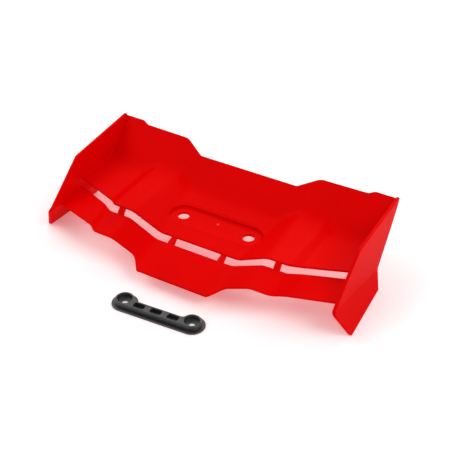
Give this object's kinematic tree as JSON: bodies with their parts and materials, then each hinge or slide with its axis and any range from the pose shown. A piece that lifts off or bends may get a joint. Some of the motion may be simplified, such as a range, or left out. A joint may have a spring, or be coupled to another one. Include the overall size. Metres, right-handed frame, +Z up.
{
  "type": "model car rear wing",
  "caption": "Moulded rear wing for a radio-controlled buggy, with slotted deck, kick-up, endplates and a loose washer plate for its two mounting screws.",
  "frame": {"origin": "midpoint between the two screw holes, on the underside of the mounting pad", "axes": "+X along the span to the right seen from the front, +Y rearward to the kick-up, +Z up along the screws"},
  "size_m": [0.2136, 0.1263, 0.0456],
  "materials": {
    "wing_red_plastic": "bright red moulded nylon, satin, even",
    "washer_grey_plastic": "dark grey moulded nylon, matt, fine grain"
  },
  "bodies": {
    "wing": {"mount_pad": "wing_red_plastic", "front_centre_deck": "wing_red_plastic", "rear_centre_deck": "wing_red_plastic", "left_shoulder": "wing_red_plastic", "right_shoulder": "wing_red_plastic", "left_outer_deck": "wing_red_plastic", "right_outer_deck": "wing_red_plastic", "centre_kick_up": "wing_red_plastic", "left_kick_up": "wing_red_plastic", "right_kick_up": "wing_red_plastic", "nose_slat": "wing_red_plastic", "left_shoulder_slat": "wing_red_plastic", "right_shoulder_slat": "wing_red_plastic", "left_outer_slat": "wing_red_plastic", "right_outer_slat": "wing_red_plastic", "inner_slot_ribs": "wing_red_plastic", "outer_slot_ribs": "wing_red_plastic", "left_endplate": "wing_red_plastic", "right_endplate": "wing_red_plastic", "left_skirt": "wing_red_plastic", "right_skirt": "wing_red_plastic"},
    "washer": {"washer_plate": "washer_grey_plastic"}
  },
  "joints": [
    {"name": "washer_lift", "type": "slide", "parent": "wing", "child": "washer", "axis": [0, 0, 1], "range_m": [0, 0.06]}
  ]
}
